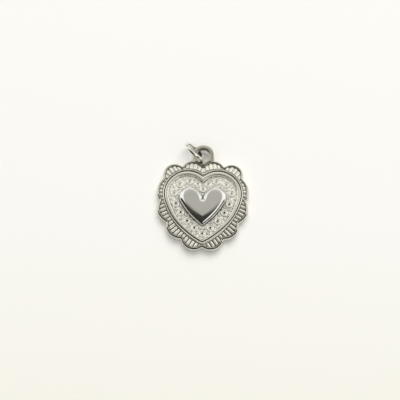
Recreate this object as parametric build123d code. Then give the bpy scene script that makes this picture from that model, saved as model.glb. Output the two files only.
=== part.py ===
from build123d import *
import math
import os
from dataclasses import dataclass

# A heart charm of struck silver plate with a hanging ear, a puffed heart and a jump ring.
# X points right, Y points up to the ear and Z points out of the face. The back lies on Z = 0.
# Lengths are in millimetres and angles in degrees.

# Medal plate
medal_width = 19.0
rim_height = 1.9
rim_width = 0.45
valley_radius = 0.15
hollow_inset = 0.2
hollow_depth = 0.65
border_depth = 0.6
field_depth = 0.65

# Each scallop runs from valley to valley through its peak.
# A place is its turn from the top, and its share of half the medal's width.
valley_shares = ((0, 0.832), (29.5, 0.926), (58, 1.016), (87.5, 0.942), (119.5, 0.905), (150.5, 0.937), (180, 1.0))
peak_shares = ((17, 0.982), (44.5, 1.128), (71, 1.047), (104, 1.005), (136, 1.011), (166.5, 1.084))

# Heart frame, a narrow outer ridge, a groove and a broad inner ridge
border_width = 1.12
frame_width = 1.25
outer_ridge_width = 0.33
groove_width = 0.12
groove_depth = 0.3
ridge_bevel = 0.1
corner_radius = 0.16

# Each heart has its lobe centre, lobe top, notch and tip as shares of its half width.
outer_heart_shares = (0.364, 0.859, 0.752, -1.098)
inner_heart_shares = (0.435, 0.818, 0.582, -1.143)
puffed_heart_shares = (0.576, 0.687, 0.152, -1.01)
frame_turn = 15
puffed_turn = 28

# Border ribs, which stand square to the heart frame
ribs_per_side = 34
rib_width = 0.62
rib_crest_width = 0.26
rib_drop = 0.12

# Rosettes on the field, each a raised ring round a button, cut with flat sides
rosette_radius = 0.84
rosette_well_radius = 0.6
rosette_height = 0.26
rosette_sides = 8
button_radius = 0.32
button_height = 0.3
relief_slope = 20
relief_sink = 0.1
rosette_notch_share = 0.65
rosette_place_shares = (0, 0.109, 0.2225, 0.3425, 0.456, 0.582, 0.703, 0.82, 0.917, 1)

# Puffed heart, a domed shell let into the field, its width a share of the medal's
puffed_width_share = 0.521
puffed_rise = 1.15
puffed_edge_radius = 0.95
puffed_wall = 0.45
puffed_notch_radius = 0.14
seat_depth = 0.2
seat_clearance = 0.05
ledge_width = 0.4

# Hanging ear, its heights told from the level of half the medal's width
ear_radius = 2.2
ear_arch_rise = 0.14
ear_foot_half_width = 2.4
ear_thickness = 0.95
ear_bevel = 0.12
ear_hole_radius = 1.32
ear_hole_rise = 0.58
ear_foot_drop = 2.1

# Jump ring, leaning against the ear as it was laid down, its round wire drawn with flat sides
ring_wire = 0.75
ring_wire_sides = 16
ring_inside = 3.9
ring_seam = 0.05
ring_floor_gap = 0.02
ring_across = -1.89
ring_along = 0.785
ring_bearing = 43.3
ring_lean = 65.9
ring_seam_turn = 200

# How far a cutting or trimming tool reaches past what it cuts, and what counts as touching
overrun = 1.0
touching = 0.001

medal_half_width = medal_width / 2
puffed_half_width = puffed_width_share * medal_half_width
ear_hole_height = medal_half_width + ear_hole_rise
ear_foot_height = medal_half_width - ear_foot_drop
border_ground = rim_height - border_depth
field_ground = rim_height - field_depth
seat_floor = field_ground - seat_depth


@dataclass
class Heart:
    """An upright heart, each half of it three arcs that run smoothly into each other."""

    lobe_x: float
    lobe_top: float
    lobe_radius: float
    notch: float
    tip: float
    turn: float

    def lobe_centre(self):
        """Centre of the round arc over the lobe."""
        return Vector(self.lobe_x, self.lobe_top - self.lobe_radius)

    def brow_radius(self):
        """Radius of the arc that falls from the lobe's top to the notch."""
        drop = self.lobe_top - self.notch
        return (self.lobe_x**2 + drop**2) / (2 * drop)

    def shoulder(self):
        """Place where the lobe's arc gives way to the flank."""
        return self.lobe_centre() + self.outward() * self.lobe_radius

    def outward(self):
        """Direction square to the edge at the shoulder."""
        return Vector(math.cos(math.radians(self.turn)), -math.sin(math.radians(self.turn)))

    def flank_centre(self):
        """Centre of the long arc that runs down to the tip."""
        span = self.shoulder() - Vector(0, self.tip)
        radius = span.dot(span) / (2 * span.dot(self.outward()))
        return self.shoulder() - self.outward() * radius

    def half(self):
        """Edges of the right half, from the notch round to the tip."""
        top = Vector(self.lobe_x, self.lobe_top)
        brow_centre = top - Vector(0, self.brow_radius())
        arcs = (
            (Vector(0, self.notch), brow_centre, top),
            (top, self.lobe_centre(), self.shoulder()),
            (self.shoulder(), self.flank_centre(), Vector(0, self.tip)),
        )
        return [arc_about(start, centre, end) for start, centre, end in arcs]

    def face(self):
        """The whole heart as a flat face."""
        right = self.half()
        return make_face(right + [mirror(edge, about=Plane.YZ) for edge in right])


def arc_about(start, centre, end):
    """The shorter arc from start to end about a centre."""
    radius = (start - centre).length
    middle = centre + ((start + end) / 2 - centre).normalized() * radius
    return ThreePointArc(start, middle, end)


def heart_of(half_width, shares, turn):
    """A heart of a given half width, with its outline's shares."""
    lobe, top, notch, tip = (share * half_width for share in shares)
    return Heart(lobe, top, half_width - lobe, notch, tip, turn)


outer_half_width = medal_half_width - border_width
outer_heart = heart_of(outer_half_width, outer_heart_shares, frame_turn)
inner_heart = heart_of(outer_half_width - frame_width, inner_heart_shares, frame_turn)
puffed_outline = heart_of(puffed_half_width, puffed_heart_shares, puffed_turn)


def medal_outline():
    """The scalloped outline, with its valleys eased."""

    def place(turn, share):
        reach = share * medal_half_width
        return Vector(reach * math.sin(math.radians(turn)), reach * math.cos(math.radians(turn)))

    valleys = [place(*valley) for valley in valley_shares]
    peaks = [place(*peak) for peak in peak_shares]
    right = [ThreePointArc(a, b, c) for a, b, c in zip(valleys, peaks, valleys[1:])]
    face = make_face(right + [mirror(edge, about=Plane.YZ) for edge in right])
    return fillet(face.vertices(), valley_radius)


def inset(shape, distance):
    """A flat shape of arcs with its edge moved in, or out where the distance is negative."""
    moved = offset(shape, amount=-distance, kind=Kind.ARC if distance > 0 else Kind.INTERSECTION)
    edges = [edge for edge in moved.face().outer_wire().order_edges() if edge.length > touching]
    ends = [edge @ 1 for edge in edges]
    starts = ends[-1:] + ends[:-1]
    return make_face([ThreePointArc(start, edge @ 0.5, end) for start, edge, end in zip(starts, edges, ends)])


def softened(face, radius):
    """The same flat shape with the corners that lie on its middle line rounded."""
    corners = [corner for corner in face.vertices() if abs(corner.X) < touching]
    return fillet(corners, radius)


def slab(face, bottom, top):
    """A flat shape raised between two heights."""
    return extrude(Pos(0, 0, bottom) * face, top - bottom)


def edges_at(solid, height):
    """The edges of a solid that lie flat at a height."""
    return solid.edges().filter_by_position(Axis.Z, height, height)


def bevelled_slab(face, bottom, top, bevel):
    """A flat shape raised between two heights, with its upper edges bevelled."""
    solid = slab(face, bottom, top)
    return chamfer(edges_at(solid, top), bevel)


def ear_shape():
    """The ear's flat shape, an arch on a foot that spreads into the rim."""
    arch = ear_hole_height + ear_arch_rise
    foot = Polygon(
        (-ear_radius, arch),
        (-ear_foot_half_width, ear_foot_height),
        (ear_foot_half_width, ear_foot_height),
        (ear_radius, arch),
        align=None,
    )
    return Pos(0, arch) * Circle(ear_radius) + foot


def ear(inner_rim):
    """The ear, level with the rim and raised clear of the back."""
    flat = ear_shape() - Pos(0, ear_hole_height) * Circle(ear_hole_radius)
    lug = bevelled_slab(flat, rim_height - ear_thickness, rim_height, ear_bevel)
    return lug - slab(inner_rim, 0, rim_height + overrun)


def along_half(edges, share):
    """Place and outward direction at a share of the way from the notch to the tip."""
    path = Wire(edges)
    place = path @ share
    run = path % share
    return place, Vector(-run.Y, run.X)


def ribs(region):
    """Ribs with sloping sides across the border, each square to the heart frame."""
    foot_side = rib_width / 2
    crest_side = rib_crest_width / 2
    foot = border_ground - relief_sink
    crest = rim_height - rib_drop
    profile = Polygon(
        (foot_side, foot),
        (crest_side, crest),
        (-crest_side, crest),
        (-foot_side, foot),
        align=None,
    )
    bars = []
    for index in range(ribs_per_side):
        place, outward = along_half(outer_heart.half(), (index + 0.5) / ribs_per_side)
        across = Vector(-outward.Y, outward.X)
        bars.append(extrude(Plane(origin=place, x_dir=across, z_dir=outward) * profile, medal_half_width))
    right_half = Pos(medal_width / 2) * Box(medal_width, 2 * medal_width, 2 * rim_height)
    right = (Part() + bars) & right_half
    both = right + mirror(right, about=Plane.YZ)
    return both & slab(region, foot, rim_height)


def frame():
    """The heart frame, a bevelled band that a narrow groove parts into two ridges."""
    outline = outer_heart.face()
    outer = softened(outline, corner_radius)
    groove_out = softened(inset(outline, outer_ridge_width), corner_radius)
    groove_in = softened(inset(outline, outer_ridge_width + groove_width), corner_radius)
    inner = softened(inner_heart.face(), corner_radius)
    band = bevelled_slab(outer - inner, field_ground - relief_sink, rim_height, ridge_bevel)
    return band - slab(groove_out - groove_in, rim_height - groove_depth, rim_height + overrun)


def boss(radius, height):
    """A raised boss with flat sloping sides about the Z axis, its foot below the field."""
    shape = Pos(0, 0, -relief_sink) * RegularPolygon(radius, rosette_sides)
    return extrude(shape, height + relief_sink, taper=relief_slope)


def rosette():
    """One rosette about the Z axis, a ring round a button."""
    well = Pos(0, 0, rosette_height) * Rot(180) * boss(rosette_well_radius, rosette_height)
    return boss(rosette_radius, rosette_height) - well + boss(button_radius, button_height)


def rosette_places():
    """Centres of the rosettes, along a heart midway between the frame and the puffed heart."""
    middle = Heart(
        (inner_heart.lobe_x + puffed_outline.lobe_x) / 2,
        (inner_heart.lobe_top + puffed_outline.lobe_top) / 2,
        (inner_heart.lobe_radius + puffed_outline.lobe_radius) / 2,
        puffed_outline.notch + rosette_notch_share * (inner_heart.notch - puffed_outline.notch),
        (inner_heart.tip + puffed_outline.tip) / 2,
        (inner_heart.turn + puffed_outline.turn) / 2,
    )
    right = [along_half(middle.half(), 1 - share)[0] for share in rosette_place_shares]
    left = [Vector(-place.X, place.Y) for place in right[1:-1]]
    return right + left


def puffed_foot():
    """The puffed heart's flat outline, which its seat in the field follows."""
    return softened(puffed_outline.face(), puffed_notch_radius)


def medal_plate():
    """The struck plate with its rim, border, frame, field, ear and hollow back."""
    outline = medal_outline()
    inner_rim = inset(outline, rim_width)
    frame_outer = outer_heart.face()
    plate = slab(outline, 0, rim_height)
    plate -= slab(inner_rim, border_ground, rim_height + overrun)
    plate += ear(inner_rim)
    plate += ribs(inner_rim - frame_outer)
    plate += frame()
    plate -= slab(inner_heart.face(), field_ground, rim_height + overrun)
    plate -= slab(inset(frame_outer, hollow_inset), -overrun, hollow_depth)
    foot = puffed_foot()
    plate -= slab(inset(foot, -seat_clearance), seat_floor, rim_height + overrun)
    plate -= slab(inset(foot, puffed_wall + ledge_width), -overrun, rim_height)
    one = rosette()
    return plate + [Pos(place.X, place.Y, field_ground) * one for place in rosette_places()]


def puffed_heart():
    """The domed heart, a shell that is open at the back."""
    top = field_ground + puffed_rise
    ceiling = top - puffed_wall
    body = slab(puffed_foot(), seat_floor, top)
    body = fillet(edges_at(body, top), puffed_edge_radius)
    hollow = inset(puffed_foot(), puffed_wall)
    return body - bevelled_slab(hollow, seat_floor - overrun, ceiling, puffed_edge_radius - puffed_wall)


def jump_ring():
    """The round wire ring, closed with its ends butted."""
    radius = (ring_inside + ring_wire) / 2
    gap = math.degrees(ring_seam / radius)
    section = Plane.XZ * Pos(radius) * RegularPolygon(ring_wire / 2, ring_wire_sides)
    wire = revolve(section, Axis.Z, 360 - gap)
    lowest = radius * math.sin(math.radians(ring_lean)) + ring_wire / 2
    place = Pos(ring_across, ear_hole_height + ring_along, lowest + ring_floor_gap)
    return place * Rot(0, 0, ring_bearing) * Rot(0, ring_lean, 0) * Rot(0, 0, ring_seam_turn) * wire


def main():
    """Builds each piece and writes it out."""
    os.makedirs("parts", exist_ok=True)
    export_step(medal_plate(), "parts/medal_plate.step")
    export_step(puffed_heart(), "parts/puffed_heart.step")
    export_step(jump_ring(), "parts/jump_ring.step")


if __name__ == "__main__":
    main()
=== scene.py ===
import logging
import math
from collections.abc import Callable
from dataclasses import dataclass, field
from enum import Enum
from random import Random

import bmesh
import bpy
import numpy as np
from mathutils import Matrix, Vector


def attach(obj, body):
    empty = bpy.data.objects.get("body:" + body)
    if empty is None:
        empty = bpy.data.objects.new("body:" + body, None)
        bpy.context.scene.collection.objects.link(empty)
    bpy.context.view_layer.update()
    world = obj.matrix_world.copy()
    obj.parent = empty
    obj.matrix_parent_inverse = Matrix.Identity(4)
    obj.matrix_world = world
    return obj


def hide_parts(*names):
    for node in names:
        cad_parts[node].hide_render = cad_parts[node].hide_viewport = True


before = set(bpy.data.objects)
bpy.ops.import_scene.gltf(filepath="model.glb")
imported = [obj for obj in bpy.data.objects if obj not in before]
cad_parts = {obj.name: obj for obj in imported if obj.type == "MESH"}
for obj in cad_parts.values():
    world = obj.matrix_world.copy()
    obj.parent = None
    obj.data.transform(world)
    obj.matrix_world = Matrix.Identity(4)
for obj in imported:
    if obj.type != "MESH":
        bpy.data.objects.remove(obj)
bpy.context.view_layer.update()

log = logging.getLogger("charm")

# Lengths below are in millimetres until a mesh is placed, and angles in degrees.
MM = 0.001
# The sunk ground, and how far down what stands on it runs on out of sight.
GROUND = 1.28
BENEATH = 1.12
# Points along an arc, down half a heart, round a corner and in half of a loop met by rays.
ARC_POINTS = 240
HALF_POINTS = 900
CORNER_POINTS = 24
FINE_HALF = 200
PLAIN_HALF = 160
# A bevel is cut as two facets, the first one this share of it.
FACET = 0.3
# How far easing draws a point to the middle of its neighbours in one pass.
PULL = 0.6
# Where rays meet a loop: the least cross product, the slack at an edge's ends and the least way.
PARALLEL = 1e-12
SLACK = 1e-9
LEAST_WAY = 1e-6
# In metres, vertices nearer than this are merged.
MERGE = 1e-8
# A face whose middle is this near to a height lies at it.
NEAR = 0.01


class Ends(Enum):
    """How a lofted skin is closed."""

    JOINED = "last loop meets the first"
    FILLED = "a face over each end"


def clear_selection() -> None:
    """Leaves object mode ready for a new primitive."""
    if bpy.context.object and bpy.context.object.mode != "OBJECT":
        bpy.ops.object.mode_set(mode="OBJECT")
    bpy.ops.object.select_all(action="DESELECT")


def level(loop: np.ndarray, height: float | np.ndarray) -> np.ndarray:
    """Rows of x, y, z from rows of x, y at a height."""
    return np.column_stack([loop, np.broadcast_to(height, len(loop))])


def unit(rows: np.ndarray) -> np.ndarray:
    """Rows brought to a length of one."""
    return rows / np.linalg.norm(rows, axis=1)[:, None]


def bearings(angles: np.ndarray) -> np.ndarray:
    """Unit rows of x, y at angles in radians from the X axis."""
    return np.column_stack([np.cos(angles), np.sin(angles)])


def crossed(a: np.ndarray, b: np.ndarray) -> np.ndarray:
    """The cross products of rows of x, y."""
    return a[..., 0] * b[..., 1] - a[..., 1] * b[..., 0]


def at_shares(rows: np.ndarray, shares: np.ndarray | tuple) -> np.ndarray:
    """Rows read off at shares of the way along even rows."""
    scale = np.linspace(0, 1, len(rows))
    return np.column_stack([np.interp(shares, scale, column) for column in rows.T])


def resampled(path: np.ndarray, count: int) -> np.ndarray:
    """An open path with points at even steps along it.

    Args:
        path: Rows that start with x, y.
        count: How many rows it gets.

    Returns:
        The new rows, with any further columns carried along.
    """
    steps = np.linalg.norm(np.diff(path[:, :2], axis=0), axis=1)
    way = np.concatenate([[0], np.cumsum(steps)])
    wanted = np.linspace(0, way[-1], count)
    return np.column_stack([np.interp(wanted, way, column) for column in path.T])


def there_and_back(values: np.ndarray) -> np.ndarray:
    """Values for a loop's right half, repeated backwards for its left."""
    return np.concatenate([values, values[-2:0:-1]])


def closed_by_mirror(right: np.ndarray) -> np.ndarray:
    """A closed loop from its right half, whose ends lie on the middle line."""
    return np.vstack([right, right[-2:0:-1] * np.array([-1, 1])])


def eased(loop: np.ndarray, corners: list[int], reach: float) -> np.ndarray:
    """A closed loop with some of its corners rounded.

    Args:
        loop: Rows of x, y.
        corners: Indices of the corners.
        reach: How far from each corner the rounding runs.

    Returns:
        The eased loop, with as many points.
    """
    eased_loop = loop.copy()
    spacing = np.linalg.norm(np.roll(loop, -1, axis=0) - loop, axis=1).mean()
    weights = np.zeros(len(loop))
    span = max(2, int(round(reach / spacing)))
    for corner in corners:
        for step in range(-span, span + 1):
            weights[(corner + step) % len(loop)] = math.cos(step / (span + 1) * math.pi / 2)
    for _ in range(span * span // 2 + 1):
        middle = (np.roll(eased_loop, 1, axis=0) + np.roll(eased_loop, -1, axis=0)) / 2
        eased_loop += (middle - eased_loop) * weights[:, None] * PULL
    return eased_loop


def outward_normals(loop: np.ndarray) -> np.ndarray:
    """Unit normals that point out of a loop which runs clockwise."""
    run = np.roll(loop, -1, axis=0) - np.roll(loop, 1, axis=0)
    return unit(np.column_stack([-run[:, 1], run[:, 0]]))


def reach_to(loop: np.ndarray, starts: np.ndarray, directions: np.ndarray) -> np.ndarray:
    """Distance from each start along its direction to a closed loop.

    Args:
        loop: Rows of x, y.
        starts: Rows of x, y.
        directions: Unit rows of x, y.

    Returns:
        One distance a start, infinite where it misses.
    """
    edge = (np.roll(loop, -1, axis=0) - loop)[None, :, :]
    gap = loop[None, :, :] - starts[:, None, :]
    ray = directions[:, None, :]
    cross = crossed(ray, edge)
    cross = np.where(np.abs(cross) < PARALLEL, PARALLEL, cross)
    along = crossed(gap, edge) / cross
    share = crossed(gap, ray) / cross
    hit = (share >= -SLACK) & (share <= 1 + SLACK) & (along > LEAST_WAY)
    return np.where(hit, along, np.inf).min(axis=1)


def at_bearings(loop: np.ndarray, guide: np.ndarray, centre: np.ndarray) -> np.ndarray:
    """A loop met by the rays from a centre through each point of a guide loop.

    Args:
        loop: Rows of x, y.
        guide: Rows of x, y that give the bearings.
        centre: Where the rays start.

    Returns:
        As many rows of x, y as the guide has, all on the loop.
    """
    directions = unit(guide - centre)
    starts = np.repeat(centre[None, :], len(guide), axis=0)
    return starts + directions * reach_to(loop, starts, directions)[:, None]


def smooth_step(value: np.ndarray, low: float, high: float) -> np.ndarray:
    """0 below low, 1 above high and a smooth rise between."""
    share = np.clip((value - low) / (high - low), 0, 1)
    return share * share * (3 - 2 * share)


def place_selected(piece: bpy.types.Object, loop: np.ndarray) -> None:
    """Moves the selected vertices of a piece in edit mode to a loop, each by its number.

    Args:
        piece: The piece, whose vertices carry their number in the loop.
        loop: Rows of x, y, z.
    """
    mesh = bmesh.from_edit_mesh(piece.data)
    number = mesh.verts.layers.int["number"]
    for vertex in mesh.verts:
        if vertex.select:
            vertex.co = Vector(loop[vertex[number]]) * MM
    bmesh.update_edit_mesh(piece.data)


def lofted(name: str, loops: list[np.ndarray], ends: Ends) -> bpy.types.Object:
    """Runs a skin through loops of equal count, each extruded from the one before.

    Args:
        name: The piece's name.
        loops: Rows of x, y, z, one array a loop.
        ends: How the skin is closed.

    Returns:
        The new piece, in object mode.
    """
    clear_selection()
    cap = "NGON" if ends is Ends.FILLED else "NOTHING"
    bpy.ops.mesh.primitive_circle_add(vertices=len(loops[0]), radius=MM, fill_type=cap)
    piece = bpy.context.object
    piece.name = name
    bpy.ops.object.mode_set(mode="EDIT")
    mesh = bmesh.from_edit_mesh(piece.data)
    number = mesh.verts.layers.int.new("number")
    for index, vertex in enumerate(mesh.verts):
        vertex[number] = index
    place_selected(piece, loops[0])
    following = loops[1:] + ([loops[0]] if ends is Ends.JOINED else [])
    for loop in following:
        bpy.ops.mesh.extrude_edges_indiv()
        place_selected(piece, loop)
    if ends is Ends.FILLED:
        bpy.ops.mesh.edge_face_add()
    bpy.ops.mesh.select_all(action="SELECT")
    bpy.ops.mesh.remove_doubles(threshold=MERGE)
    bpy.ops.mesh.normals_make_consistent(inside=False)
    bpy.ops.object.mode_set(mode="OBJECT")
    return piece


def shaded(piece: bpy.types.Object, angle: float) -> None:
    """Smooth shading except over edges sharper than an angle.

    Args:
        piece: The piece.
        angle: The angle in degrees.
    """
    clear_selection()
    piece.select_set(True)
    bpy.context.view_layer.objects.active = piece
    bpy.ops.object.shade_smooth_by_angle(angle=math.radians(angle))


def joined(name: str, pieces: list[bpy.types.Object]) -> bpy.types.Object:
    """Makes several objects one piece.

    Args:
        name: The piece's name.
        pieces: The objects.

    Returns:
        The one piece.
    """
    clear_selection()
    for piece in pieces:
        piece.select_set(True)
    bpy.context.view_layer.objects.active = pieces[0]
    bpy.ops.object.join()
    piece = bpy.context.object
    piece.name = name
    return piece


def copy_at(
    model: bpy.types.Object, place: Vector, size: float, turn: float
) -> bpy.types.Object:
    """A copy with its own mesh, sized and turned about Z and moved by a place.

    Args:
        model: The modelled piece, at the origin.
        place: Where the copy goes, in metres.
        size: Its size against the model's.
        turn: Its turn about Z in radians.

    Returns:
        The copy, whose object stays at the origin.
    """
    copy = model.copy()
    copy.data = model.data.copy()
    bpy.context.collection.objects.link(copy)
    turned = Matrix.Rotation(turn, 4, "Z") @ Matrix.Scale(size, 4)
    copy.data.transform(Matrix.Translation(place) @ turned)
    return copy


# Outlines


@dataclass(frozen=True)
class HeartOutline:
    """An upright heart, each half three arcs that run smoothly into each other.

    The shares are of the half width: the lobe's middle sideways, and the lobe's top, the notch
    and the tip upwards. The turn is how far below the X axis the lobe's arc ends.
    """

    half_width: float
    lobe_share: float
    top_share: float
    notch_share: float
    tip_share: float
    turn: float

    def arc(self, start: np.ndarray, centre: np.ndarray, end: np.ndarray) -> np.ndarray:
        """The shorter arc about a centre.

        Args:
            start: The arc's first point.
            centre: Its centre.
            end: A point at its last bearing.

        Returns:
            Rows of x, y and the outward normal's x, y.
        """
        first, last = (math.atan2(*(point - centre)[::-1]) for point in (start, end))
        turn = (last - first + math.pi) % (2 * math.pi) - math.pi
        normals = bearings(first + turn * np.linspace(0, 1, ARC_POINTS))
        return np.hstack([centre + normals * np.linalg.norm(start - centre), normals])

    def right_half(self) -> tuple[np.ndarray, np.ndarray]:
        """The right half, from the notch round to the tip.

        Returns:
            Points at even steps, and the outward normal at each.
        """
        lobe = self.lobe_share * self.half_width
        high = self.top_share * self.half_width
        notch = np.array([0, self.notch_share * self.half_width])
        tip = np.array([0, self.tip_share * self.half_width])
        radius = self.half_width - lobe
        top = np.array([lobe, high])
        drop = high - notch[1]
        brow_centre = top - np.array([0, (lobe**2 + drop**2) / (2 * drop)])
        lobe_centre = top - np.array([0, radius])
        turn = math.radians(self.turn)
        outward = np.array([math.cos(turn), -math.sin(turn)])
        shoulder = lobe_centre + outward * radius
        span = shoulder - tip
        flank_centre = shoulder - outward * (span @ span) / (2 * (span @ outward))
        arcs = [
            self.arc(notch, brow_centre, top),
            self.arc(top, lobe_centre, shoulder),
            self.arc(shoulder, flank_centre, tip),
        ]
        rows = resampled(np.vstack(arcs), HALF_POINTS)
        return rows[:, :2], unit(rows[:, 2:])

    def half(self, inset: float, count: int) -> np.ndarray:
        """The right half moved inwards, its ends on the middle line.

        Args:
            inset: How far in it moves, or out where this is negative.
            count: How many steps it has.

        Returns:
            Rows of x, y from the notch to the tip.
        """
        points, normals = self.right_half()
        moved = points - normals * inset
        downwards = -math.pi / 2
        if inset > 0:
            start = math.atan2(-normals[0, 1], -normals[0, 0])
            fan = bearings(np.linspace(downwards, start, CORNER_POINTS))
            moved = np.vstack([points[0] + inset * fan, self.clipped(moved)])
        elif inset < 0:
            end = math.atan2(normals[-1, 1], normals[-1, 0])
            fan = bearings(np.linspace(end, downwards, CORNER_POINTS))
            moved = np.vstack([self.clipped(moved[::-1])[::-1], points[-1] - inset * fan])
        path = resampled(moved, count + 1)
        path[[0, -1], 0] = 0
        return path

    def clipped(self, path: np.ndarray) -> np.ndarray:
        """A path cut where its second half crosses the middle line.

        Args:
            path: Rows of x, y.

        Returns:
            The path up to the crossing, or all of it where it has none.
        """
        beyond = np.nonzero(path[:, 0] < 0)[0]
        beyond = beyond[beyond > len(path) // 2]
        if not len(beyond):
            return path
        last = beyond[0]
        a, b = path[last - 1], path[last]
        return np.vstack([path[:last], a + (b - a) * a[0] / (a[0] - b[0])])

    def loop(self, inset: float, count: int, soft: float = 0.0) -> np.ndarray:
        """The whole outline, moved inwards, its notch and tip eased.

        Args:
            inset: How far in the edge moves.
            count: Points in each half.
            soft: How far from the notch and the tip the easing runs.

        Returns:
            Twice count rows of x, y, clockwise from the notch.
        """
        closed = closed_by_mirror(self.half(inset, count))
        return eased(closed, [0, count], soft) if soft else closed


@dataclass(frozen=True)
class ScallopedOutline:
    """The medal's edge, twelve scallops told by their valleys and peaks.

    Each valley and peak is its turn from the top and its share of the half width.
    """

    half_width: float = 9.5
    valleys: tuple = (
        (0, 0.832), (29.5, 0.926), (58, 1.016), (87.5, 0.942), (119.5, 0.905), (150.5, 0.937),
        (180, 1.0),
    )
    peaks: tuple = (
        (17, 0.982), (44.5, 1.128), (71, 1.047), (104, 1.005), (136, 1.011), (166.5, 1.084),
    )
    per_scallop: int = 36
    valley_ease: float = 0.2

    def place(self, turn: float, share: float) -> np.ndarray:
        """A point of the edge by its turn from the top and its share of the half width."""
        reach, angle = share * self.half_width, math.radians(turn)
        return np.array([reach * math.sin(angle), reach * math.cos(angle)])

    def scallop(self, a: np.ndarray, b: np.ndarray, c: np.ndarray) -> np.ndarray:
        """The arc from a to c through b.

        Args:
            a: The valley that it starts in.
            b: Its peak.
            c: The valley that it ends in.

        Returns:
            Rows of x, y.
        """
        matrix = 2 * np.array([b - a, c - a])
        centre = np.linalg.solve(matrix, np.array([b @ b - a @ a, c @ c - a @ a]))
        angles = np.unwrap([math.atan2(*(point - centre)[::-1]) for point in (a, b, c)])
        sweep = np.linspace(angles[0], angles[2], self.per_scallop + 1)
        return centre + np.linalg.norm(a - centre) * bearings(sweep)

    def loop(self, inset: float = 0.0) -> np.ndarray:
        """The edge moved inwards.

        Args:
            inset: How far in it moves.

        Returns:
            Rows of x, y, clockwise from the top valley.
        """
        valleys = [self.place(*valley) for valley in self.valleys]
        arcs = [
            self.scallop(valleys[index], self.place(*peak), valleys[index + 1])
            for index, peak in enumerate(self.peaks)
        ]
        right = np.vstack([part[:-1] for part in arcs] + [arcs[-1][-1:]])
        right[[0, -1], 0] = 0
        corners = [index * self.per_scallop for index in range(2 * len(self.peaks))]
        edge = eased(closed_by_mirror(right), corners, self.valley_ease)
        return edge - outward_normals(edge) * inset


EDGE = ScallopedOutline()
FRAME_OUTER = HeartOutline(
    half_width=8.38, lobe_share=0.364, top_share=0.859, notch_share=0.752, tip_share=-1.098,
    turn=15,
)
FRAME_INNER = HeartOutline(
    half_width=7.13, lobe_share=0.435, top_share=0.818, notch_share=0.582, tip_share=-1.143,
    turn=15,
)
PUFFED = HeartOutline(
    half_width=4.95, lobe_share=0.576, top_share=0.687, notch_share=0.152, tip_share=-1.01,
    turn=28,
)


# Finishes


@dataclass
class Wiring:
    """A node tree that is filled a node at a time, each with its settings and inputs."""

    tree: bpy.types.NodeTree

    @property
    def given(self) -> bpy.types.bpy_prop_collection:
        """What a group's tree is given, by name."""
        return self.tree.nodes["in"].outputs

    def fill(self, node: bpy.types.Node, inputs: dict) -> None:
        """Fills a node's inputs.

        Args:
            node: The node.
            inputs: A value, or a socket to link, for each input by its name or number.
        """
        for label, value in inputs.items():
            if isinstance(value, bpy.types.NodeSocket):
                self.tree.links.new(value, node.inputs[label])
            else:
                node.inputs[label].default_value = value

    def add(self, kind: str, inputs: dict, **settings: object) -> bpy.types.bpy_prop_collection:
        """Adds a node.

        Args:
            kind: Its type, without the ShaderNode in front.
            inputs: Its inputs, as fill takes them.
            settings: Its own settings, made before the inputs are filled.

        Returns:
            The node's outputs.
        """
        node = self.tree.nodes.new("ShaderNode" + kind)
        for label, setting in settings.items():
            setattr(node, label, setting)
        self.fill(node, inputs)
        return node.outputs

    def place(self) -> bpy.types.NodeSocket:
        """The place on the piece that is shaded."""
        return self.add("TexCoord", {})["Object"]

    def worked(self, kind: str, *values: float | bpy.types.NodeSocket) -> bpy.types.NodeSocket:
        """The result of one sum or product of numbers and sockets."""
        return self.add("Math", dict(enumerate(values)), operation=kind)[0]

    def noise(
        self, place: bpy.types.NodeSocket, scale: float, detail: float
    ) -> bpy.types.NodeSocket:
        """Cloudy noise at a place."""
        return self.add("TexNoise", {"Vector": place, "Scale": scale, "Detail": detail})["Fac"]

    def risen(
        self,
        value: bpy.types.NodeSocket,
        low: float | bpy.types.NodeSocket,
        high: float | bpy.types.NodeSocket,
        at_low: float | bpy.types.NodeSocket = 0.0,
        at_high: float = 1.0,
        curve: str = "SMOOTHSTEP",
    ) -> bpy.types.NodeSocket:
        """A change from one level to another as a value rises.

        Args:
            value: The value.
            low: Where the change starts.
            high: Where it ends.
            at_low: The level up to low.
            at_high: The level from high on.
            curve: The kind of change between.

        Returns:
            The level.
        """
        spread = {"Value": value, "From Min": low, "From Max": high}
        spread |= {"To Min": at_low, "To Max": at_high}
        return self.add("MapRange", spread, interpolation_type=curve)["Result"]

    def mixed(
        self,
        factor: bpy.types.NodeSocket,
        first: tuple | bpy.types.NodeSocket,
        second: tuple | bpy.types.NodeSocket,
    ) -> bpy.types.NodeSocket:
        """A first colour turned to a second by a factor.

        Args:
            factor: 0 for the first and 1 for the second.
            first: Red, green and blue, or a socket.
            second: The same.

        Returns:
            The colour.
        """
        a, b = ((*c, 1) if isinstance(c, tuple) else c for c in (first, second))
        return self.add("Mix", {"Factor": factor, "A": a, "B": b}, data_type="RGBA")["Result"]


def effect(name: str, inputs: dict[str, float], outputs: tuple[str, ...]) -> Wiring:
    """Starts a shader node group with named sockets.

    Args:
        name: The group's name.
        inputs: Each input's name and default value.
        outputs: Each output's name.

    Returns:
        The group's wiring, with its input and output nodes in place.
    """
    group = bpy.data.node_groups.new(name, "ShaderNodeTree")
    for label, value in inputs.items():
        socket = group.interface.new_socket(label, in_out="INPUT", socket_type="NodeSocketFloat")
        socket.default_value = value
    for label in outputs:
        group.interface.new_socket(label, in_out="OUTPUT", socket_type="NodeSocketFloat")
    group.nodes.new("NodeGroupInput").name = "in"
    group.nodes.new("NodeGroupOutput").name = "out"
    return Wiring(group)


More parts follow.
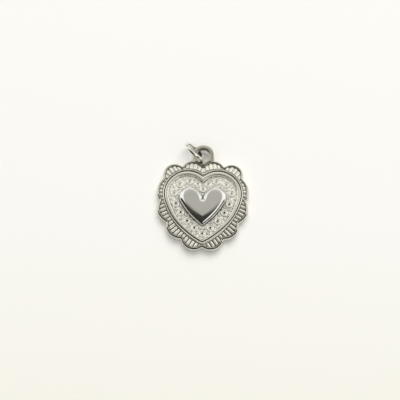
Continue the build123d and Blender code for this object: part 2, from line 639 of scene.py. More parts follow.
@dataclass
class SilverEffects:
    """The shader node groups that the silver finishes share, each built once.

    A noise is its scale and detail, and a scratch's lay its turn and its scale across.
    """

    shelter_samples: int = 12
    cloud: tuple = (1400, 4)
    cloud_share: float = 0.22
    top_lightening_from_to: tuple = (-0.0015, 0.003)
    cell_smoothness: float = 0.4
    grain: tuple = (9000, 2)
    prick_from_to: tuple = (0.1, 0.24)
    scratch_lays: tuple = ((0.4, 5200), (1.9, 4300), (2.7, 6100))
    scratch_noise: tuple = (1, 2)
    scratch_length: float = 18
    scratch_from_to: tuple = (0.62, 0.8)
    swell: tuple = (420, 1)
    smear: tuple = (260, 3)

    def __post_init__(self) -> None:
        """Builds the groups."""
        self.recess = self.recess_group()
        self.handling = self.handling_group()
        self.stipple = self.stipple_group()

    def recess_group(self) -> bpy.types.ShaderNodeTree:
        """Dark patina and painted shade in the relief's low places, and painted light towards the
        top.

        Returns:
            The group.
        """
        inputs = {"Reach": 0.0005, "Low": 0.3, "High": 0.8, "TopLightening": 0.0}
        wiring = effect("patina and painted shade in recesses", inputs, ("Darkening",))
        given, place = wiring.given, wiring.place()
        shelter = {"Distance": given["Reach"]}
        # Ambient occlusion finds the recesses; their darkening is partly patina and partly painted
        # shade.
        bare = wiring.add("AmbientOcclusion", shelter, samples=self.shelter_samples)["AO"]
        cloud = wiring.noise(place, *self.cloud)
        spread = wiring.worked("MULTIPLY_ADD", cloud, self.cloud_share, bare)
        mask = wiring.risen(spread, given["Low"], given["High"], 1, 0)
        # Painted light: the darkening fades out towards the top, so the upper part looks more lit.
        upwards = wiring.risen(wiring.add("SeparateXYZ", {0: place})["Y"], *self.top_lightening_from_to)
        left = wiring.worked("SUBTRACT", 1, wiring.worked("MULTIPLY", upwards, given["TopLightening"]))
        wiring.fill(wiring.tree.nodes["out"], {"Darkening": wiring.worked("MULTIPLY", mask, left)})
        return wiring.tree

    def stipple_group(self) -> bpy.types.ShaderNodeTree:
        """The pricked texture that the die leaves on the ground, and the dark patina in its pricks.

        Returns:
            The group.
        """
        inputs = {"Pitch": 0.0004, "Prick": 0.0}
        wiring = effect("stippled ground", inputs, ("Height", "Darkening"))
        given, place = wiring.given, wiring.place()
        cell = {"Vector": place, "Scale": wiring.worked("DIVIDE", 1, given["Pitch"])}
        cell["Smoothness"] = self.cell_smoothness
        cells = wiring.add("TexVoronoi", cell, feature="SMOOTH_F1")["Distance"]
        height = wiring.worked("SUBTRACT", wiring.noise(place, *self.grain), cells)
        prick = wiring.risen(cells, *self.prick_from_to, given["Prick"], 0)
        wiring.fill(wiring.tree.nodes["out"], {"Height": height, "Darkening": prick})
        return wiring.tree

    def handling_group(self) -> bpy.types.ShaderNodeTree:
        """Fine scratches, small dents and the smears of handling.

        Returns:
            The group.
        """
        wiring = effect("marks of handling", {"Scratch": 0.5, "Dent": 0.5}, ("Height", "Smear"))
        given, place = wiring.given, wiring.place()
        total = 0.0
        for turn, across in self.scratch_lays:
            lay = {"Vector": place, "Rotation": (0, 0, turn)}
            lay["Scale"] = (across, across / self.scratch_length, across)
            line = wiring.noise(wiring.add("Mapping", lay)["Vector"], *self.scratch_noise)
            cut = wiring.risen(line, *self.scratch_from_to, curve="LINEAR")
            total = wiring.worked("ADD", total, cut)
        scratch = wiring.worked("MULTIPLY", total, given["Scratch"])
        dent = wiring.worked("MULTIPLY", wiring.noise(place, *self.swell), given["Dent"])
        height = wiring.worked("SUBTRACT", dent, scratch)
        smear = wiring.noise(place, *self.smear)
        wiring.fill(wiring.tree.nodes["out"], {"Height": height, "Smear": smear})
        return wiring.tree


@dataclass(frozen=True)
class SilverFinish:
    """Silver, darkened in its recesses by patina and painted shade, with the marks of handling."""

    name: str
    bright: tuple = (0.95, 0.93, 0.835)
    # The dark colour of patina, laid on as painted shade too.
    oxide_and_shade: tuple = (0.06, 0.052, 0.033)
    reach: float = 0.45
    low: float = 0.35
    high: float = 0.8
    smooth: float = 0.16
    rough: float = 0.3
    dull: float = 0.5
    smear_from_to: tuple = (0.35, 0.7)
    scratch: float = 0.5
    dent: float = 0.5
    stipple: float = 0.0
    stipple_depth: float = 0.06
    prick: float = 0.0
    metal: float = 1.0
    top_lightening: float = 0.0
    depth: float = 0.004

    def material(self, effects: SilverEffects) -> bpy.types.Material:
        """The finish as a material.

        Args:
            effects: The shared node groups.

        Returns:
            A new material.
        """
        made = bpy.data.materials.new(self.name)
        made.use_nodes = True
        wiring = Wiring(made.node_tree)
        sheltered = {"Reach": self.reach * MM, "Low": self.low, "High": self.high}
        sheltered["TopLightening"] = self.top_lightening
        recess = wiring.add("Group", sheltered, node_tree=effects.recess)["Darkening"]
        marked = {"Scratch": self.scratch, "Dent": self.dent}
        marks = wiring.add("Group", marked, node_tree=effects.handling)
        relief = {"Distance": self.depth * MM, "Height": marks["Height"]}
        normal = wiring.add("Bump", relief)["Normal"]
        oxide_and_shade = recess
        if self.stipple:
            pricks = wiring.add("Group", {"Prick": self.prick}, node_tree=effects.stipple)
            oxide_and_shade = wiring.worked("MAXIMUM", oxide_and_shade, pricks["Darkening"])
            relief = {"Height": pricks["Height"], "Normal": normal}
            relief["Distance"] = self.stipple * self.stipple_depth * MM
            normal = wiring.add("Bump", relief)["Normal"]
        sheen = wiring.risen(marks["Smear"], *self.smear_from_to, self.smooth, self.rough, "LINEAR")
        matt = wiring.add("Mix", {"Factor": recess, "A": sheen, "B": self.dull})["Result"]
        # The dark colour marks patina and painted shade alike.
        colour = wiring.mixed(oxide_and_shade, self.bright, self.oxide_and_shade)
        surface = {"Metallic": self.metal, "Base Color": colour, "Roughness": matt}
        wiring.fill(made.node_tree.nodes["Principled BSDF"], surface | {"Normal": normal})
        return made


# Each finish's recess darkening is partly patina and partly painted shade, and its top lightening
# is painted light.
class Silver(Enum):
    """The silver finishes of the charm."""

    RIM = SilverFinish(
        "worn rim silver", bright=(0.68, 0.66, 0.58), reach=0.8, low=0.25, high=0.7,
        smooth=0.08, rough=0.15,
    )
    SIDE = SilverFinish(
        "polished side silver", metal=0.28, bright=(0.97, 0.955, 0.9), reach=0.1, low=0.0,
        high=0.4, smooth=0.16, rough=0.4, scratch=0.2,
    )
    # Rosette pits and groove floors, dark all over with patina and painted shade.
    PIT = SilverFinish("silver filled with patina and painted shade", metal=0.9, low=1.2, high=1.4, top_lightening=0.85)
    # Painted shade: the hole's wall is a darker silver, as it lies in shade.
    SHADED_BORE = SilverFinish(
        "bore silver with painted shade", bright=(0.5, 0.48, 0.42), reach=1.2, low=0.5, high=0.95
    )
    FRAME = SilverFinish(
        "frame silver", metal=0.85, bright=(0.97, 0.95, 0.86), smooth=0.12, rough=0.24,
        reach=0.3, low=0.47, high=0.86,
    )
    RELIEF = SilverFinish(
        "oxidised relief silver", bright=(1.0, 0.98, 0.89), metal=0.64, reach=0.3, low=0.34,
        high=0.74, smooth=0.08, rough=0.2, top_lightening=0.95,
    )
    FIELD = SilverFinish(
        "frosted field silver", bright=(1.0, 0.985, 0.905), metal=0.22, reach=0.35, low=0.56,
        high=0.88, smooth=0.14, rough=0.28, stipple=1.0, prick=1.0, top_lightening=0.95,
    )
    ORNAMENT = SilverFinish(
        "oxidised ornament silver", bright=(1.0, 0.985, 0.905), metal=0.5, reach=0.25, low=0.64,
        high=0.98, smooth=0.07, rough=0.16, top_lightening=0.6,
    )
    MIRROR = SilverFinish(
        "polished heart silver", bright=(0.93, 0.92, 0.9), reach=1.2, low=0.72, high=0.92,
        smooth=0.06, rough=0.12, scratch=0.25, top_lightening=0.85,
    )
    # Its long-reaching recess darkening is painted shade where the ring lies in the ear's hole.
    WIRE = SilverFinish(
        "drawn wire silver", bright=(0.93, 0.91, 0.86), reach=1.1, low=0.5, high=1.0,
        smooth=0.08, rough=0.18, scratch=0.4,
    )


class Solid(Enum):
    """The solids that pieces stand for, each by its node, body and material slot."""

    PLATE = ("medal_plate", "charm", "oxidised_silver")
    HEART = ("puffed_heart", "charm", "polished_silver")
    RING = ("jump_ring", "ring", "silver_wire")


@dataclass
class Workshop:
    """Dresses each finished piece and ties it to its body."""

    effects: SilverEffects = field(default_factory=SilverEffects)
    made: dict = field(default_factory=dict)

    def material(self, silver: Silver) -> bpy.types.Material:
        """A finish's material, made on first use.

        Args:
            silver: The finish.

        Returns:
            The material.
        """
        if silver not in self.made:
            self.made[silver] = silver.value.material(self.effects)
        return self.made[silver]

    def finish(self, piece: bpy.types.Object, silver: Silver, solid: Solid, angle: float) -> None:
        """Gives a piece its shading and material, ties it to its body and hides its solid's node.

        Args:
            piece: The piece.
            silver: Its finish.
            solid: The solid that it stands for.
            angle: Edges sharper than this stay crisp.
        """
        node, body, slot = solid.value
        piece.data.materials.clear()
        piece.data.materials.append(self.material(silver))
        shaded(piece, angle)
        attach(piece, body)
        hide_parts(node)
        log.info("%s: %d faces", piece.name, len(piece.data.polygons))

    def pick_out(
        self, piece: bpy.types.Object, silver: Silver, chosen: Callable[[Vector, Vector], bool]
    ) -> None:
        """Gives some faces of a finished piece another finish.

        Args:
            piece: The piece.
            silver: The faces' finish.
            chosen: Says of a face's middle in millimetres and its normal if it's one of them.
        """
        piece.data.materials.append(self.material(silver))
        for face in piece.data.polygons:
            if chosen(face.center / MM, face.normal):
                face.material_index = len(piece.data.materials) - 1


# The medal


@dataclass
class MedalBody:
    """The plate with its raised rim, sunk ground, hollow back and seat for the puffed heart.

    The rim's section is its inset from the edge and its height.
    """

    rim_section: tuple = (
        (0.0, 1.63), (0.018, 1.66), (0.05, 1.7), (0.09, 1.742), (0.135, 1.785), (0.18, 1.827),
        (0.22, 1.864), (0.265, 1.896), (0.32, 1.9), (0.37, 1.885), (0.415, 1.855), (0.45, 1.8),
        (0.48, 1.28),
    )
    back_bevel: float = 0.1
    hollow_inset: float = 0.2
    hollow_depth: float = 0.65
    hollow_ease: float = 0.3
    hollow_bevel: float = 0.15
    hollow_lip: float = 0.04
    seat_clearance: float = 0.05
    seat_floor: float = 1.05
    window_inset: float = 0.85
    centre: tuple = (0.0, -1.5)

    def loops(self) -> list[np.ndarray]:
        """Loops round the plate's section.

        Returns:
            The loops, from the back's edge up the side, over the rim and back inside.
        """
        middle = np.array(self.centre)
        bevel, facet = self.back_bevel, self.back_bevel * FACET
        turns = ((bevel, 0), (facet, facet), (0, bevel)) + self.rim_section
        guide = EDGE.loop(self.rim_section[-1][0])
        back_guide = EDGE.loop(bevel)
        seat = at_bearings(PUFFED.loop(-self.seat_clearance, PLAIN_HALF), guide, middle)
        window = at_bearings(PUFFED.loop(self.window_inset, PLAIN_HALF), back_guide, middle)
        hollow = [
            (self.hollow_inset + self.hollow_bevel, self.hollow_depth),
            (self.hollow_inset, self.hollow_depth - self.hollow_bevel),
            (self.hollow_inset, self.hollow_lip),
            (self.hollow_inset - self.hollow_lip, 0),
        ]
        loops = [level(EDGE.loop(inset), height) for inset, height in turns]
        loops += [level(seat, GROUND), level(seat, self.seat_floor)]
        loops += [level(window, self.seat_floor), level(window, self.hollow_depth)]
        for inset, height in hollow:
            wall = FRAME_OUTER.loop(inset, FINE_HALF, self.hollow_ease)
            loops.append(level(at_bearings(wall, back_guide, middle), height))
        return loops

    def on_ground(self, centre: Vector, normal: Vector) -> bool:
        """Whether a face lies on the ground."""
        return abs(centre.z - GROUND) < NEAR

    def on_side(self, centre: Vector, normal: Vector) -> bool:
        """Whether a face is of the upright side."""
        return abs(centre.z - (self.back_bevel + self.rim_section[0][1]) / 2) < NEAR

    def build(self, workshop: Workshop) -> None:
        """Models and dresses the plate.

        Args:
            workshop: Where it is dressed.
        """
        body = lofted("medal_body", self.loops(), Ends.JOINED)
        workshop.finish(body, Silver.RIM, Solid.PLATE, angle=30)
        workshop.pick_out(body, Silver.FIELD, self.on_ground)
        workshop.pick_out(body, Silver.SIDE, self.on_side)


@dataclass
class FlutedBorder:
    """The border's ribs, parted by round-ended flutes that run out square to the heart frame.

    A rib's crest rounds off by crest_fall until crest_share of the way from its middle line to
    its edge, and the groove's floor starts at groove_share.
    """

    ribs_per_side: int = 34
    steps_per_rib: int = 20
    fan_steps: int = 10
    rows: int = 18
    rim_inset: float = 0.46
    longest: float = 4.0
    shortest: float = 0.02
    crest: float = 1.84
    outer_drop: float = 0.15
    drop_length: float = 1.6
    drop_limit: float = 1.4
    crest_share: float = 0.76
    groove_share: float = 0.89
    crest_fall: float = 0.15
    end_gap: float = 0.16
    gutter: float = 0.1
    groove_floor: float = 1.52
    floor_blend: float = 0.01
    pit_from: float = 0.1
    pit_over: float = 0.06

    def rays(self) -> tuple[np.ndarray, np.ndarray, np.ndarray, np.ndarray]:
        """The lines that run out from the frame, round the whole border.

        Returns:
            Their feet, directions and lengths, and the count of ribs up to each.
        """
        points, normals = FRAME_OUTER.right_half()
        shares = np.linspace(0, 1, self.ribs_per_side * self.steps_per_rib + 1)
        feet, out = at_shares(points, shares), at_shares(normals, shares)
        start = math.atan2(out[-1, 1], out[-1, 0])
        opened = np.linspace(0, 1, self.fan_steps + 1)[1:]
        feet = np.vstack([feet, np.repeat(feet[-1:], self.fan_steps, axis=0)])
        out = unit(np.vstack([out, bearings(start + (-math.pi / 2 - start) * opened)]))
        ribs = np.concatenate([shares * self.ribs_per_side, self.ribs_per_side + opened / 2])
        rim = reach_to(EDGE.loop(self.rim_inset), feet, out)
        rim = np.where(np.isfinite(rim) & (rim < self.longest), rim, self.shortest)
        feet, out = closed_by_mirror(feet), closed_by_mirror(out)
        return feet, out, there_and_back(rim), there_and_back(ribs)

    def loops(self) -> list[np.ndarray]:
        """Loops round the border.

        Returns:
            The loops, from the frame's foot out to the rim.
        """
        feet, out, rim, ribs = self.rays()
        sideways = np.where(out[:, 0] == 0, 1, out[:, 0])
        leaning_in = out[:, 0] * feet[:, 0] < 0
        to_middle = np.where(leaning_in, np.abs(feet[:, 0] / sideways), np.inf)
        in_notch = (np.abs(feet[:, 0]) < LEAST_WAY) & (feet[:, 1] > 0)
        length = np.minimum(rim, np.where(in_notch, 0.0, to_middle))
        across = np.abs(ribs - np.floor(ribs) - 0.5) * 2
        loops = []
        for share in np.linspace(0, 1, self.rows):
            gone = length * share
            end = np.clip(1 - (rim - gone) / self.end_gap, 0, 1)
            foot = np.clip(1 - gone / self.gutter, 0, 1)
            out_of_middle = np.sqrt(across**2 + end**2 + foot**2)
            fall = self.crest_fall * np.clip(out_of_middle / self.crest_share, 0, 1) ** 2
            drop = self.outer_drop * np.clip(gone / self.drop_length, 0, self.drop_limit)
            high = self.crest - drop - fall
            between = across**2 / np.maximum(out_of_middle**2, self.floor_blend)
            floor = GROUND + (self.groove_floor - GROUND) * between
            sunk = smooth_step(out_of_middle, self.crest_share, self.groove_share)
            loops.append(level(feet + out * gone[:, None], high + (floor - high) * sunk))
        first, last = loops[0].copy(), loops[-1].copy()
        first[:, 2] = last[:, 2] = BENEATH
        return [first] + loops + [last]

    def in_groove(self, centre: Vector, normal: Vector) -> bool:
        """Whether a face is of a groove's floor."""
        return BENEATH + self.pit_from < centre.z < self.groove_floor + self.pit_over

    def build(self, workshop: Workshop) -> None:
        """Models and dresses the ribs.

        Args:
            workshop: Where they are dressed.
        """
        border = lofted("border_ribs", self.loops(), Ends.JOINED)
        workshop.finish(border, Silver.RELIEF, Solid.PLATE, angle=60)
        workshop.pick_out(border, Silver.PIT, self.in_groove)


@dataclass
class HeartFrame:
    """The heart frame, a narrow ridge and a broad one with a groove between.

    Its section is the way in from its outer edge and the height.
    """

    per_half: int = 220
    width: float = 1.25
    section: tuple = (
        (0.0, 1.12), (0.0, 1.6), (0.015, 1.74), (0.06, 1.84), (0.12, 1.885), (0.19, 1.895),
        (0.25, 1.87), (0.3, 1.79), (0.33, 1.68), (0.36, 1.61), (0.39, 1.59), (0.42, 1.61),
        (0.45, 1.68), (0.48, 1.79), (0.54, 1.87), (0.62, 1.9), (0.75, 1.91), (0.95, 1.905),
        (1.08, 1.885), (1.16, 1.84), (1.21, 1.76), (1.24, 1.6), (1.25, 1.12),
    )
    groove: float = 0.39
    groove_at_tip: float = 0.85
    shift_from: float = -3.0
    shift_to: float = -8.0
    outer_ease: float = 0.2
    inner_ease: float = 0.35

    def build(self, workshop: Workshop) -> None:
        """Models and dresses the frame, whose groove nears the inner edge towards the tip.

        Args:
            workshop: Where it is dressed.
        """
        outer = FRAME_OUTER.loop(0, self.per_half, self.outer_ease)
        inner = FRAME_INNER.loop(0, self.per_half, self.inner_ease)
        near_tip = 1 - smooth_step(outer[:, 1], self.shift_to, self.shift_from)
        groove = self.groove + (self.groove_at_tip - self.groove) * near_tip
        squeeze = (self.width - groove) / (self.width - self.groove)
        loops = []
        for place, height in self.section:
            inside = self.width - (self.width - place) * squeeze
            across = place * groove / self.groove if place <= self.groove else inside
            skin = outer + (inner - outer) * (across / self.width)[:, None]
            loops.append(level(skin, height))
        ridges = lofted("heart_frame", loops, Ends.JOINED)
        workshop.finish(ridges, Silver.FRAME, Solid.PLATE, angle=50)


@dataclass
class FieldOrnament:
    """The rosettes, granules and fine grains on the ground between the frame and the heart.

    A boss's section is its radius and height, from the foot to the middle. Its room is the
    radius round it that the grains keep clear of. The middles are the rosettes', once built.
    """

    notch_share: float = 0.65
    shares: tuple = (0, 0.109, 0.2225, 0.3425, 0.456, 0.582, 0.703, 0.82, 0.917, 1)
    rosette_section: tuple = (
        (0.9, -0.1), (0.89, 0.0), (0.8, 0.1), (0.71, 0.19), (0.65, 0.24), (0.59, 0.25),
        (0.53, 0.22), (0.47, 0.15), (0.42, 0.12), (0.36, 0.15), (0.31, 0.21), (0.26, 0.24),
        (0.22, 0.22), (0.19, 0.12), (0.17, 0.02), (0.0, 0.0),
    )
    granule_section: tuple = (
        (0.3, -0.1), (0.295, 0.02), (0.25, 0.11), (0.18, 0.17), (0.11, 0.15), (0.07, 0.05),
        (0.0, 0.02),
    )
    grain_section: tuple = ((0.13, -0.05), (0.125, 0.03), (0.075, 0.09), (0.0, 0.105))
    rosette_steps: int = 28
    granule_steps: int = 16
    grain_steps: int = 8
    rosette_room: float = 0.84
    granule_room: float = 0.26
    pit: float = 0.21
    middle_radius: float = 0.004
    one_sided: float = 0.05
    granule_offset: float = 0.62
    grain_sizes: tuple = (0.7, 1.25)
    grain_gap: float = 0.3
    grain_clearance: float = 0.04
    grain_margin: float = 0.12
    grain_tries: int = 9000
    grain_x: tuple = (-7, 7)
    grain_y: tuple = (-8, 6)
    turn_seed: int = 7
    place_seed: int = 23
    size_seed: int = 5
    middles: list[Vector] = field(default_factory=list)

    def midway(self, name: str) -> float:
        """A share of the rosettes' line, midway between the frame's and the heart's."""
        lengths = [getattr(heart, name) * heart.half_width for heart in (FRAME_INNER, PUFFED)]
        return sum(lengths) / (FRAME_INNER.half_width + PUFFED.half_width)

    def path(self) -> tuple[np.ndarray, np.ndarray]:
        """The right half of the line that the rosettes follow.

        Returns:
            Its points and outward normals, from the notch to the tip.
        """
        width = (FRAME_INNER.half_width + PUFFED.half_width) / 2
        low, high = (heart.notch_share * heart.half_width for heart in (PUFFED, FRAME_INNER))
        notch = (low + self.notch_share * (high - low)) / width
        lobe, top, tip = (self.midway(name) for name in ("lobe_share", "top_share", "tip_share"))
        turn = (FRAME_INNER.turn + PUFFED.turn) / 2
        return HeartOutline(width, lobe, top, notch, tip, turn).right_half()

    def places(self, shares: tuple, offset: float) -> list[Vector]:
        """Places along the line, on both sides.

        Args:
            shares: How far up from the tip each one is.
            offset: How far outwards from the line they are.

        Returns:
            The places in metres.
        """
        points, normals = (at_shares(rows[::-1], shares) for rows in self.path())
        found = []
        for x, y in points + normals * offset:
            found.append(Vector((x, y, GROUND)) * MM)
            if abs(x) > self.one_sided:
                found.append(Vector((-x, y, GROUND)) * MM)
        return found

    def turned(self, name: str, section: tuple, steps: int) -> bpy.types.Object:
        """A round boss about the Z axis.

        Args:
            name: Its name.
            section: Its radius and height, from the foot to the middle.
            steps: How many sides it has.

        Returns:
            The boss.
        """
        circle = bearings(-np.linspace(0, 2 * math.pi, steps, endpoint=False))
        loops = [level(circle * max(radius, self.middle_radius), high) for radius, high in section]
        return lofted(name, loops, Ends.FILLED)

    def repeated(
        self, name: str, model: bpy.types.Object, places: list[Vector], sizes: list[float]
    ) -> bpy.types.Object:
        """Copies of a model, made one piece in its stead.

        Args:
            name: The piece's name.
            model: The model.
            places: Where the copies go, in metres.
            sizes: Their sizes against the model's.

        Returns:
            The piece.
        """
        turns = Random(self.turn_seed)
        copies = [
            copy_at(model, place, size, turns.uniform(0, math.tau))
            for place, size in zip(places, sizes)
        ]
        bpy.data.objects.remove(model)
        return joined(name, copies)

    def grain_places(self, taken: list[tuple[Vector, float]]) -> list[Vector]:
        """Places for the grains, clear of the bosses and within the ground.

        Args:
            taken: The bosses' places in metres and their room.

        Returns:
            The places in metres.
        """
        picker = Random(self.place_seed)
        inner = FRAME_INNER.loop(self.grain_margin, PLAIN_HALF)
        puffed = PUFFED.loop(-self.grain_margin, PLAIN_HALF)
        clear = self.grain_clearance
        bosses = [(place.x / MM, place.y / MM, room + clear) for place, room in taken]
        spots = []
        for _ in range(self.grain_tries):
            x, y = picker.uniform(*self.grain_x), picker.uniform(*self.grain_y)
            if not self.within((x, y), inner) or self.within((x, y), puffed):
                continue
            if any(math.hypot(x - boss_x, y - boss_y) < room for boss_x, boss_y, room in bosses):
                continue
            if all(math.hypot(x - spot[0], y - spot[1]) > self.grain_gap for spot in spots):
                spots.append((x, y))
        return [Vector((x, y, GROUND)) * MM for x, y in spots]

    def within(self, spot: tuple[float, float], loop: np.ndarray) -> bool:
        """Whether a spot lies inside a closed loop.

        Args:
            spot: Its x, y.
            loop: Rows of x, y.

        Returns:
            True inside.
        """
        a, b = loop, np.roll(loop, -1, axis=0)
        over = (a[:, 1] > spot[1]) != (b[:, 1] > spot[1])
        run = np.where(over, b[:, 1] - a[:, 1], 1)
        cross = a[:, 0] + (spot[1] - a[:, 1]) / run * (b[:, 0] - a[:, 0])
        return bool(np.count_nonzero(over & (cross > spot[0])) % 2)

    def in_pit(self, centre: Vector, normal: Vector) -> bool:
        """Whether a face is of the pit in a rosette's middle."""
        return min((centre.xy - middle).length for middle in self.middles) < self.pit

    def build(self, workshop: Workshop) -> None:
        """Models and dresses the rosettes, granules and grains.

        Args:
            workshop: Where they are dressed.
        """
        rosette_places = self.places(self.shares, 0)
        self.middles = [(place / MM).xy for place in rosette_places]
        rosette = self.turned("rosette", self.rosette_section, self.rosette_steps)
        sizes = [1.0] * len(rosette_places)
        rosettes = self.repeated("rosettes", rosette, rosette_places, sizes)
        between = tuple((a + b) / 2 for a, b in zip(self.shares, self.shares[1:]))
        granule_places = self.places(between, self.granule_offset)
        granule_places += self.places(between[:-1], -self.granule_offset)
        granule = self.turned("granule", self.granule_section, self.granule_steps)
        sizes = [1.0] * len(granule_places)
        granules = self.repeated("granules", granule, granule_places, sizes)
        taken = [(place, self.rosette_room) for place in rosette_places]
        taken += [(place, self.granule_room) for place in granule_places]
        grain_places = self.grain_places(taken)
        grain = self.turned("grain", self.grain_section, self.grain_steps)
        picker = Random(self.size_seed)
        sizes = [picker.uniform(*self.grain_sizes) for _ in grain_places]
        grains = self.repeated("field_grains", grain, grain_places, sizes)
        for piece in (rosettes, granules, grains):
            workshop.finish(piece, Silver.ORNAMENT, Solid.PLATE, angle=70)
        workshop.pick_out(rosettes, Silver.PIT, self.in_pit)


@dataclass
class PuffedHeart:
    """The domed heart, a shell open at the back.

    The crown's steps are the inset and the rise over the rounded edge's top.
    """

    per_half: int = 200
    foot: float = 1.05
    foot_bevel: float = 0.02
    spring: float = 1.65
    radius: float = 0.75
    wall: float = 0.45
    soft: float = 0.16
    dome_y: float = 0.6
    dome_reach: float = 4.5
    dome_rise: float = 0.12
    dome_fall: float = 0.2
    notch_y: float = 1.8
    notch_reach: float = 1.3
    notch_spread: float = 0.42
    notch_ease: float = 0.3
    lobe_x: float = 2.7
    lobe_y: float = 2.9
    lobe_reach: float = 1.2
    lobe_lift: float = 0.22
    inner_turns: tuple = (90, 67, 45, 22, 0)
    outer_end: float = 82
    outer_count: int = 15
    crown: tuple = (
        (0.78, 0.006), (0.9, 0.018), (1.05, 0.028), (1.2, 0.036), (1.38, 0.042), (1.54, 0.044),
    )

    def ring(self, inset: float, height: float) -> np.ndarray:
        """The heart's outline moved inwards at a height, higher towards the dome's middle.

        Args:
            inset: How far in it moves.
            height: Its height before the dome lifts it.

        Returns:
            Rows of x, y, z.
        """
        loop = PUFFED.loop(inset, self.per_half, self.soft)
        x, y = loop[:, 0].copy(), loop[:, 1].copy()
        near_notch = np.exp(-(x**2 + (y - self.notch_y) ** 2) / self.notch_reach**2)
        from_lobe = (np.abs(x) - self.lobe_x) ** 2 + (y - self.lobe_y) ** 2
        near_lobe = np.exp(-from_lobe / self.lobe_reach**2)
        inwards = min(1, inset / self.radius)
        loop[:, 0] += np.tanh(x / self.notch_ease) * self.notch_spread * near_notch * inwards
        loop[:, 1] += self.lobe_lift * near_lobe * inwards
        away = (loop[:, 0] ** 2 + (loop[:, 1] - self.dome_y) ** 2) / self.dome_reach**2
        share = np.clip((height - self.foot) / (self.spring + self.radius - self.foot), 0, 1)
        return level(loop, height + share * (self.dome_rise - self.dome_fall * away**2))

    def rounded(self, radius: float, turn: float) -> np.ndarray:
        """The outline where a rounded edge has turned up by an angle."""
        up = math.radians(turn)
        return self.ring(self.radius - radius * math.cos(up), self.spring + radius * math.sin(up))

    def build(self, workshop: Workshop) -> None:
        """Models and dresses the shell.

        Args:
            workshop: Where it is dressed.
        """
        foot, bevel = self.foot, self.foot_bevel
        loops = [self.rounded(self.radius - self.wall, turn) for turn in self.inner_turns]
        loops += [self.ring(self.wall, foot), self.ring(bevel, foot), self.ring(0, foot + bevel)]
        turns = np.linspace(0, self.outer_end, self.outer_count)
        loops += [self.rounded(self.radius, turn) for turn in turns]
        top = self.spring + self.radius
        loops += [self.ring(inset, top + rise) for inset, rise in self.crown]
        shell = lofted("puffed_heart_shell", loops, Ends.FILLED)
        workshop.finish(shell, Silver.MIRROR, Solid.HEART, angle=40)


@dataclass
class HangingEar:
    """The flat ear, an arch round a hole whose foot runs into the rim."""

    steps: int = 128
    hole_y: float = 10.08
    hole_radius: float = 1.32
    arch_radius: float = 2.2
    arch_y: float = 10.22
    arch_points: int = 90
    foot_half: float = 2.4
    foot_y: float = 7.4
    rim_inset: float = 0.3
    under: float = 0.95
    top: float = 1.888
    bevel: float = 0.1
    bore_share: float = 0.8
    steepest: float = 0.5

    def outer(self) -> np.ndarray:
        """The ear's edge about the hole, ending within the rim.

        Returns:
            Rows of x, y.
        """
        turns = np.linspace(0, 2 * math.pi, self.steps, endpoint=False)
        directions = bearings(math.pi / 2 - turns)
        sweep = np.linspace(math.pi, 0, self.arch_points)
        arch = self.arch_radius * bearings(sweep) + np.array([0, self.arch_y])
        foot = [[self.foot_half, self.foot_y], [-self.foot_half, self.foot_y]]
        starts = np.repeat(np.array([[0, self.hole_y]]), self.steps, axis=0)
        own = reach_to(np.vstack([arch, foot]), starts, directions)
        rim = reach_to(EDGE.loop(self.rim_inset), starts, directions)
        return starts + directions * np.minimum(own, rim)[:, None]

    def in_bore(self, centre: Vector, normal: Vector) -> bool:
        """Whether a face is of the hole's wall.

        Args:
            centre: The face's middle in millimetres.
            normal: Its normal.

        Returns:
            True on the wall.
        """
        away = (centre.xy - Vector((0, self.hole_y))).length
        near = away < self.hole_radius + self.bevel * self.bore_share
        return near and abs(normal.z) < self.steepest

    def build(self, workshop: Workshop) -> None:
        """Models and dresses the ear.

        Args:
            workshop: Where it is dressed.
        """
        outer = self.outer()
        centre = np.array([0, self.hole_y])
        inward = unit(centre - outer)
        hole = centre - inward * self.hole_radius
        bevel, facet = self.bevel, self.bevel * FACET
        lower = [(bevel, self.under), (facet, self.under + facet), (0, self.under + bevel)]
        upper = [(0, self.top - bevel), (facet, self.top - facet), (bevel, self.top)]
        side = lower + upper
        loops = [level(outer + inward * inset, height) for inset, height in side]
        loops += [level(hole - inward * inset, height) for inset, height in side[::-1]]
        ear = lofted("hanging_ear", loops, Ends.JOINED)
        workshop.finish(ear, Silver.RIM, Solid.PLATE, angle=30)
        # The hole's wall gets its painted shade.
        workshop.pick_out(ear, Silver.SHADED_BORE, self.in_bore)


@dataclass
class JumpRing:
    """The wire ring, its ends butted, leaning in the ear."""

    wire: float = 0.75
    inside: float = 3.9
    seam: float = 0.05
    floor_gap: float = 0.02
    place: tuple = (-1.89, 10.865)
    bearing: float = 43.3
    lean: float = 65.9
    seam_turn: float = 200
    steps: int = 144
    wire_sides: int = 32

    def build(self, workshop: Workshop) -> None:
        """Spins the wire's round section into the ring and lays it in place.

        Args:
            workshop: Where it is dressed.
        """
        radius = (self.inside + self.wire) / 2
        clear_selection()
        bpy.ops.mesh.primitive_circle_add(
            vertices=self.wire_sides, radius=self.wire / 2 * MM, fill_type="NGON",
            location=(radius * MM, 0, 0), rotation=(math.pi / 2, 0, 0),
        )
        ring = bpy.context.object
        ring.name = "wire_ring"
        bpy.ops.object.transform_apply(location=True, rotation=True, scale=True)
        bpy.ops.object.mode_set(mode="EDIT")
        bpy.ops.mesh.select_all(action="SELECT")
        round_to_seam = 2 * math.pi - self.seam / radius
        bpy.ops.mesh.spin(steps=self.steps, angle=round_to_seam, center=(0, 0, 0), axis=(0, 0, 1))
        bpy.ops.mesh.select_all(action="SELECT")
        bpy.ops.mesh.normals_make_consistent(inside=False)
        bpy.ops.object.mode_set(mode="OBJECT")
        lowest = radius * math.sin(math.radians(self.lean)) + self.wire / 2
        turn = Matrix.Identity(4)
        for angle, axis in ((self.bearing, "Z"), (self.lean, "Y"), (self.seam_turn, "Z")):
            turn = turn @ Matrix.Rotation(math.radians(angle), 4, axis)
        where = Vector((*self.place, lowest + self.floor_gap)) * MM
        ring.data.transform(Matrix.Translation(where) @ turn)
        workshop.finish(ring, Silver.WIRE, Solid.RING, angle=40)


# The studio


